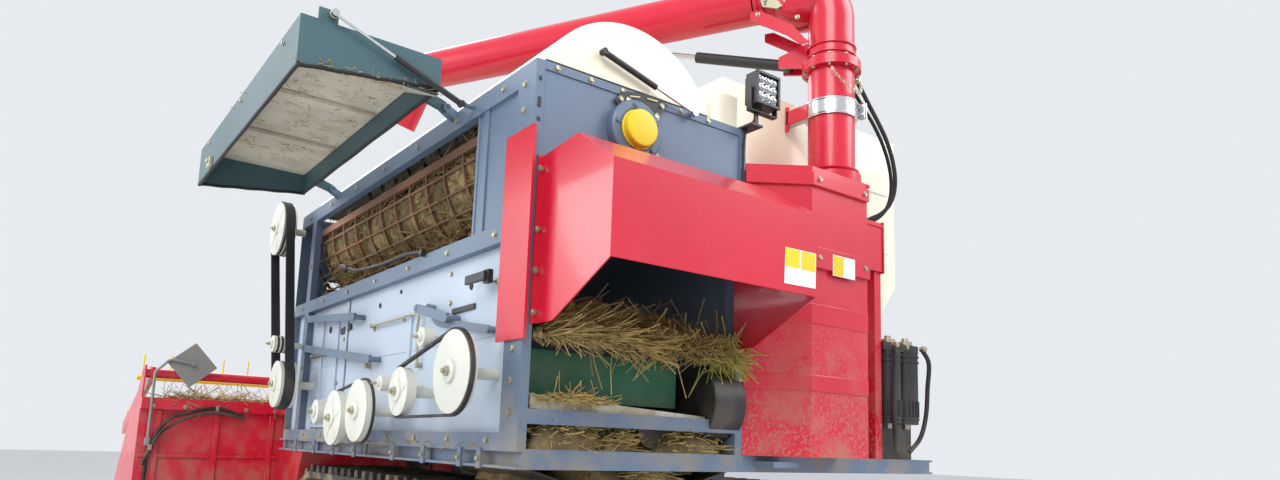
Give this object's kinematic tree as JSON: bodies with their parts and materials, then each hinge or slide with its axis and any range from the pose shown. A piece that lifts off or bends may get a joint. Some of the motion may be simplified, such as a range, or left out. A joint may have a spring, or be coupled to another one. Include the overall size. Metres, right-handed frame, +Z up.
{
  "type": "combine harvester",
  "caption": "Crawler grain harvester with cutting header and reel, lengthwise threshing drum, grain tank, swinging unloading tube and open side cover.",
  "frame": {"origin": "on the ground under the middle of the machine's outline", "axes": "+Z up, +Y forward along the machine towards the header, +X to the machine's right"},
  "size_m": [2.508, 4.959, 2.7297],
  "materials": {
    "chassis_frame": "satin",
    "left_track": "matte",
    "right_track": "matte",
    "undercarriage": "satin",
    "track_frames": "satin",
    "drive_axle": "matte",
    "thresher_frame": "satin",
    "thresher_side_panel": "satin",
    "upper_rear_panel": "satin",
    "shaft_cap": "satin",
    "concave_grate": "worn",
    "sieve_box": "satin",
    "chaff_trough": "satin",
    "straw_hood": "gloss",
    "post_plate": "gloss",
    "drive_pulleys": "painted",
    "drive_belts": "matte",
    "tension_levers": "satin",
    "rear_column": "gloss",
    "grain_tank": "satin",
    "tube_riser": "gloss",
    "tube_clamp": "brushed",
    "top_box": "satin",
    "work_lamp": "matte",
    "rear_filters": "satin",
    "engine_block": "matte",
    "engine_cover": "gloss",
    "operator_floor": "satin",
    "operator_seat": "matte",
    "control_console": "satin",
    "canopy": "gloss",
    "fuel_tank": "satin",
    "threshing_drum": "worn",
    "drum_cover": "satin",
    "drum_strut_barrel": "satin",
    "drum_strut_rod": "polished",
    "side_cover": "satin",
    "side_strut_barrel": "satin",
    "side_strut_rod": "polished",
    "swivel_elbow": "gloss",
    "unloading_tube": "gloss",
    "boom_barrel": "satin",
    "boom_rod": "polished",
    "feeder_house": "gloss",
    "header_frame": "gloss",
    "cutter_bar": "worn",
    "marker_plate": "satin",
    "header_barrel": "satin",
    "header_rod": "polished",
    "header_auger": "gloss",
    "reel_arms": "satin",
    "reel_barrels": "satin",
    "reel_rods": "polished",
    "crop_reel": "satin"
  },
  "bodies": {
    "base": {"chassis_frame": "chassis_frame", "left_track": "left_track", "right_track": "right_track", "undercarriage": "undercarriage", "track_frames": "track_frames", "drive_axle": "drive_axle", "thresher_frame": "thresher_frame", "thresher_side_panel": "thresher_side_panel", "upper_rear_panel": "upper_rear_panel", "shaft_cap": "shaft_cap", "concave_grate": "concave_grate", "sieve_box": "sieve_box", "chaff_trough": "chaff_trough", "straw_hood": "straw_hood", "post_plate": "post_plate", "drive_pulleys": "drive_pulleys", "drive_belts": "drive_belts", "tension_levers": "tension_levers", "rear_column": "rear_column", "grain_tank": "grain_tank", "tube_riser": "tube_riser", "tube_clamp": "tube_clamp", "top_box": "top_box", "work_lamp": "work_lamp", "rear_filters": "rear_filters", "engine_block": "engine_block", "engine_cover": "engine_cover", "operator_floor": "operator_floor", "operator_seat": "operator_seat", "control_console": "control_console", "canopy": "canopy", "fuel_tank": "fuel_tank"},
    "drum": {"threshing_drum": "threshing_drum"},
    "drum_lid": {"drum_cover": "drum_cover"},
    "drum_strut_foot": {"drum_strut_barrel": "drum_strut_barrel"},
    "drum_strut_end": {"drum_strut_rod": "drum_strut_rod"},
    "side_lid": {"side_cover": "side_cover"},
    "side_strut_foot": {"side_strut_barrel": "side_strut_barrel"},
    "side_strut_end": {"side_strut_rod": "side_strut_rod"},
    "elbow": {"swivel_elbow": "swivel_elbow"},
    "tube": {"unloading_tube": "unloading_tube"},
    "boom_cylinder": {"boom_barrel": "boom_barrel"},
    "boom_piston": {"boom_rod": "boom_rod"},
    "header": {"feeder_house": "feeder_house", "header_frame": "header_frame", "cutter_bar": "cutter_bar", "marker_plate": "marker_plate"},
    "header_cylinder": {"header_barrel": "header_barrel"},
    "header_piston": {"header_rod": "header_rod"},
    "auger": {"header_auger": "header_auger"},
    "arms": {"reel_arms": "reel_arms"},
    "arm_cylinders": {"reel_barrels": "reel_barrels"},
    "arm_pistons": {"reel_rods": "reel_rods"},
    "reel": {"crop_reel": "crop_reel"}
  },
  "joints": [
    {"name": "drum_spin", "type": "hinge", "parent": "base", "child": "drum", "pos_m": [-0.335, -2.135, 1.755], "axis": [0, 1, 0], "continuous": true},
    {"name": "drum_lid_hinge", "type": "hinge", "parent": "base", "child": "drum_lid", "pos_m": [-0.011, -2.135, 1.905], "axis": [0, 1, 0], "range_deg": [0, 30]},
    {"name": "side_lid_hinge", "type": "hinge", "parent": "base", "child": "side_lid", "pos_m": [-0.721, -2.135, 1.905], "axis": [0, 1, 0], "range_deg": [-84, 0]},
    {"name": "tube_swing", "type": "hinge", "parent": "base", "child": "elbow", "pos_m": [0.6, -2.155, 0], "axis": [0, 0, 1], "range_deg": [0, 200]},
    {"name": "tube_lift", "type": "hinge", "parent": "elbow", "child": "tube", "pos_m": [0.46199, -1.88413, 2.711], "axis": [0.891, 0.454, 0], "range_deg": [0, 35]},
    {"name": "header_lift", "type": "hinge", "parent": "base", "child": "header", "pos_m": [0.285, 0.205, 1.4], "axis": [1, 0, 0], "range_deg": [-6, 12]},
    {"name": "auger_spin", "type": "hinge", "parent": "header", "child": "auger", "pos_m": [0.285, 1.127, 0.458], "axis": [1, 0, 0], "continuous": true},
    {"name": "reel_lift", "type": "hinge", "parent": "header", "child": "arms", "pos_m": [0.285, 0.875, 1.075], "axis": [1, 0, 0], "range_deg": [-4, 24]},
    {"name": "reel_spin", "type": "hinge", "parent": "arms", "child": "reel", "pos_m": [0.285, 1.825, 0.79], "axis": [1, 0, 0], "continuous": true},
    {"name": "header_cylinder_pivot", "type": "hinge", "parent": "base", "child": "header_cylinder", "pos_m": [0.06, 0.26, 0.655], "axis": [1, 0, 0], "range_deg": [-11.55, 21.1]},
    {"name": "header_cylinder_stroke", "type": "slide", "parent": "header_cylinder", "child": "header_piston", "axis": [0, 0.8355, -0.5495], "range_m": [-0.06885, 0.13369]},
    {"name": "reel_cylinder_pivot", "type": "hinge", "parent": "header", "child": "arm_cylinders", "pos_m": [0.285, 0.995, 0.73], "axis": [1, 0, 0], "range_deg": [-5.74, 24.46]},
    {"name": "reel_cylinder_stroke", "type": "slide", "parent": "arm_cylinders", "child": "arm_pistons", "axis": [0, 0.9632, 0.2688], "range_m": [-0.02915, 0.15489]},
    {"name": "boom_cylinder_pivot", "type": "hinge", "parent": "elbow", "child": "boom_cylinder", "pos_m": [0.51828, -1.99462, 2.3], "axis": [0.891, 0.454, 0], "range_deg": [-2, 23.3]},
    {"name": "boom_cylinder_stroke", "type": "slide", "parent": "boom_cylinder", "child": "boom_piston", "axis": [-0.4373, 0.8582, 0.2688], "range_m": [-0.004, 0.19409]},
    {"name": "side_strut_pivot", "type": "hinge", "parent": "base", "child": "side_strut_foot", "pos_m": [-0.735, -1.733, 1.865], "axis": [0, 1, 0], "range_deg": [-91.1, 2]},
    {"name": "side_strut_stroke", "type": "slide", "parent": "side_strut_foot", "child": "side_strut_end", "axis": [-0.9318, 0, 0.363], "range_m": [-0.04582, 0.004]},
    {"name": "drum_strut_pivot", "type": "hinge", "parent": "base", "child": "drum_strut_end", "pos_m": [-0.097, -2.155, 1.88], "axis": [0, 1, 0], "range_deg": [-2, 36.45]},
    {"name": "drum_strut_stroke", "type": "slide", "parent": "drum_strut_end", "child": "drum_strut_foot", "axis": [-0.9679, 0, 0.2511], "range_m": [-0.004, 0.03847]}
  ],
  "couplings": [
    {"joint": "header_cylinder_pivot", "follows": "header_lift", "ratio": 1.592},
    {"joint": "header_cylinder_stroke", "follows": "header_lift", "m_per_rad": 0.61923},
    {"joint": "reel_cylinder_pivot", "follows": "reel_lift", "ratio": 0.93588},
    {"joint": "reel_cylinder_stroke", "follows": "reel_lift", "m_per_rad": 0.36022},
    {"joint": "boom_cylinder_pivot", "follows": "tube_lift", "ratio": 0.60865},
    {"joint": "boom_cylinder_stroke", "follows": "tube_lift", "m_per_rad": 0.31117},
    {"joint": "side_strut_pivot", "follows": "side_lid_hinge", "ratio": 1.0607},
    {"joint": "side_strut_stroke", "follows": "side_lid_hinge", "m_per_rad": 0.028523},
    {"joint": "drum_strut_pivot", "follows": "drum_lid_hinge", "ratio": 1.1484},
    {"joint": "drum_strut_stroke", "follows": "drum_lid_hinge", "m_per_rad": 0.065828}
  ]
}
